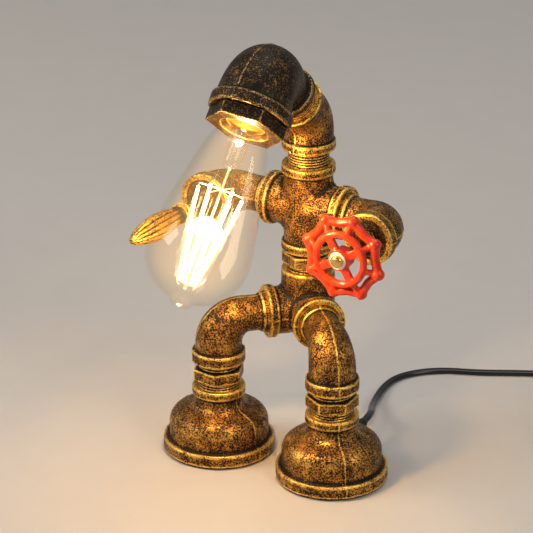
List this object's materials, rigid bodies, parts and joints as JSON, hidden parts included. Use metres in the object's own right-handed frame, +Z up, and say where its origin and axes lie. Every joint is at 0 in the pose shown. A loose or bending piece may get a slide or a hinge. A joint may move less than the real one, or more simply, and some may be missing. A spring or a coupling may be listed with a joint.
{
  "type": "table lamp",
  "caption": "Table lamp built of iron pipe fittings in the shape of a small figure, with a bulb for its face, a red handwheel in one hand and a fluted finial in the other.",
  "frame": {"origin": "on the table, under the middle of the lamp without its cord", "axes": "+Z up, the figure faces -Y, +X towards the hand with the wheel"},
  "size_m": [0.2648, 0.3521, 0.283],
  "materials": {
    "antique_iron": "black with rubbed antique gold, speckled",
    "antique_steel": "black with rubbed antique gold",
    "foot_rubber": "matt",
    "holder_ceramic": "glossy",
    "brass": "satin",
    "zinc_steel": "satin",
    "bulb_insulation": "glossy",
    "clear_glass": "clear",
    "lit_filament": "glowing",
    "dimmer_case": "matt",
    "red_enamel": "glossy enamel",
    "pale_washer": "satin",
    "gold_screw": "polished",
    "antique_brass": "black with rubbed antique gold",
    "lead_sleeve": "matt",
    "connector_plastic": "matt",
    "cord_plastic": "glossy",
    "grommet_rubber": "matt",
    "tie_plastic": "matt"
  },
  "bodies": {
    "stand": {"left_foot": "antique_iron", "left_foot_pad": "foot_rubber", "right_foot": "antique_iron", "right_foot_pad": "foot_rubber", "left_ankle_nipple": "antique_steel", "right_ankle_nipple": "antique_steel", "waist_nipple": "antique_steel", "neck_nipple": "antique_steel", "left_leg_elbow": "antique_iron", "right_leg_elbow": "antique_iron", "hip_corner": "antique_iron", "chest_cross": "antique_iron", "lower_lead": "lead_sleeve", "wire_connector": "connector_plastic", "chest_leads": "lead_sleeve", "cord_grommet": "grommet_rubber", "cord_tube": "cord_plastic", "cord_tail": "cord_plastic", "cord_coil": "cord_plastic", "cord_tie": "tie_plastic", "plug_body": "cord_plastic", "plug_blades": "brass"},
    "neck": {"neck_elbow": "antique_iron", "head_nipple": "antique_steel", "neck_lead": "lead_sleeve"},
    "head": {"head_elbow": "antique_iron", "head_bushing": "antique_iron", "lampholder_core": "holder_ceramic", "screw_shell": "brass", "centre_contact": "brass", "holder_screws": "zinc_steel", "bulb_contact": "zinc_steel", "bulb_insulator": "bulb_insulation", "bulb_cap": "brass", "bulb_glass": "clear_glass", "bulb_stem": "clear_glass", "bulb_filaments": "lit_filament", "bulb_supports": "zinc_steel", "head_lead": "lead_sleeve"},
    "right_arm": {"right_arm_elbow": "antique_iron", "right_hand_plug": "antique_iron", "dimmer_body": "dimmer_case", "dimmer_nut": "brass", "dimmer_lead": "lead_sleeve"},
    "handwheel": {"dimmer_spindle": "zinc_steel", "handwheel": "red_enamel", "wheel_washer": "pale_washer", "wheel_screw": "gold_screw"},
    "left_arm": {"left_arm_elbow": "antique_iron", "left_hand_plug": "antique_iron", "hand_finial": "antique_brass"}
  },
  "joints": [
    {"name": "head_swivel", "type": "hinge", "parent": "stand", "child": "neck", "pos_m": [-0.005, 0.0752, 0.212], "axis": [0, 0, 1], "range_deg": [-8, 20]},
    {"name": "head_roll", "type": "hinge", "parent": "neck", "child": "head", "pos_m": [-0.00588, 0.06073, 0.2358], "axis": [-0.0432, -0.7058, 0.7071], "range_deg": [-5, 8]},
    {"name": "right_arm_swing", "type": "hinge", "parent": "stand", "child": "right_arm", "pos_m": [0.0232, 0.0752, 0.1617], "axis": [1, 0, 0], "range_deg": [-10, 30]},
    {"name": "left_arm_swing", "type": "hinge", "parent": "stand", "child": "left_arm", "pos_m": [-0.0332, 0.0752, 0.1617], "axis": [1, 0, 0], "range_deg": [-15, 30]},
    {"name": "handwheel_turn", "type": "hinge", "parent": "right_arm", "child": "handwheel", "pos_m": [0.0535, 0.0158, 0.1617], "axis": [0, -1, 0], "range_deg": [-240, 60]}
  ]
}
